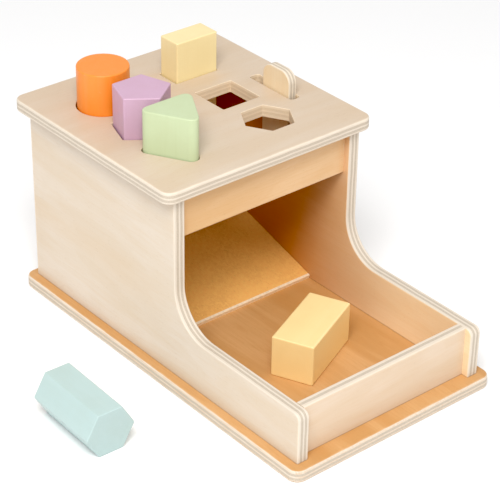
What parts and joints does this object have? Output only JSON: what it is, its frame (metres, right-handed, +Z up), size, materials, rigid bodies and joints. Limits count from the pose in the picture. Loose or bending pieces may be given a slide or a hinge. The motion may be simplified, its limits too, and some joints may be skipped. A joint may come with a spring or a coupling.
{
  "type": "shape sorter",
  "caption": "Wooden shape sorting box: overhanging lid with shaped holes, painted posting pieces, inner ramp and a low open tray in front.",
  "frame": {"origin": "centre of the base board's underside", "axes": "+Z up, -Y towards the tray's open front, +X to the right seen from the tray"},
  "size_m": [0.2653, 0.3055, 0.1825],
  "materials": {
    "birch_plywood": "satin clear lacquer",
    "hardboard": "smooth, unfinished",
    "beech_dowel": "unfinished",
    "orange_paint": "satin paint",
    "purple_paint": "satin paint",
    "green_paint": "satin paint",
    "pale_yellow_paint": "satin paint",
    "yellow_paint": "satin paint",
    "mint_paint": "satin paint"
  },
  "bodies": {
    "box": {"base_board": "birch_plywood", "left_side_panel": "birch_plywood", "right_side_panel": "birch_plywood", "back_panel": "birch_plywood", "header_board": "birch_plywood", "tray_rail": "birch_plywood", "lid_board": "birch_plywood", "ramp_board": "hardboard", "ramp_cleat": "beech_dowel", "base_dowels": "beech_dowel", "lid_dowels": "beech_dowel", "back_panel_dowels": "beech_dowel", "header_dowels": "beech_dowel", "tray_rail_dowels": "beech_dowel"},
    "cylinder_piece": {"orange_cylinder_block": "orange_paint"},
    "pentagon_piece": {"purple_pentagon_block": "purple_paint"},
    "triangle_piece": {"green_triangle_block": "green_paint"},
    "rectangle_piece": {"yellow_rectangle_block": "pale_yellow_paint"},
    "tile_piece": {"plywood_tile": "birch_plywood"},
    "square_piece": {"yellow_square_block": "yellow_paint"},
    "hexagon_piece": {"mint_hexagon_block": "mint_paint"}
  },
  "joints": [
    {"name": "cylinder_post", "type": "slide", "parent": "box", "child": "cylinder_piece", "axis": [0, 0, 1], "range_m": [-0.076, 0.04]},
    {"name": "pentagon_post", "type": "slide", "parent": "box", "child": "pentagon_piece", "axis": [0, 0, 1], "range_m": [-0.089, 0.04]},
    {"name": "triangle_post", "type": "slide", "parent": "box", "child": "triangle_piece", "axis": [0, 0, 1], "range_m": [-0.101, 0.04]},
    {"name": "rectangle_post", "type": "slide", "parent": "box", "child": "rectangle_piece", "axis": [0, 0, 1], "range_m": [-0.0775, 0.04]},
    {"name": "tile_post", "type": "slide", "parent": "box", "child": "tile_piece", "axis": [0, 0, 1], "range_m": [-0.0815, 0.04]},
    {"name": "square_lift", "type": "slide", "parent": "box", "child": "square_piece", "axis": [0, 0, 1], "range_m": [0, 0.06]},
    {"name": "hexagon_lift", "type": "slide", "parent": "box", "child": "hexagon_piece", "axis": [0, 0, 1], "range_m": [0, 0.06]}
  ]
}
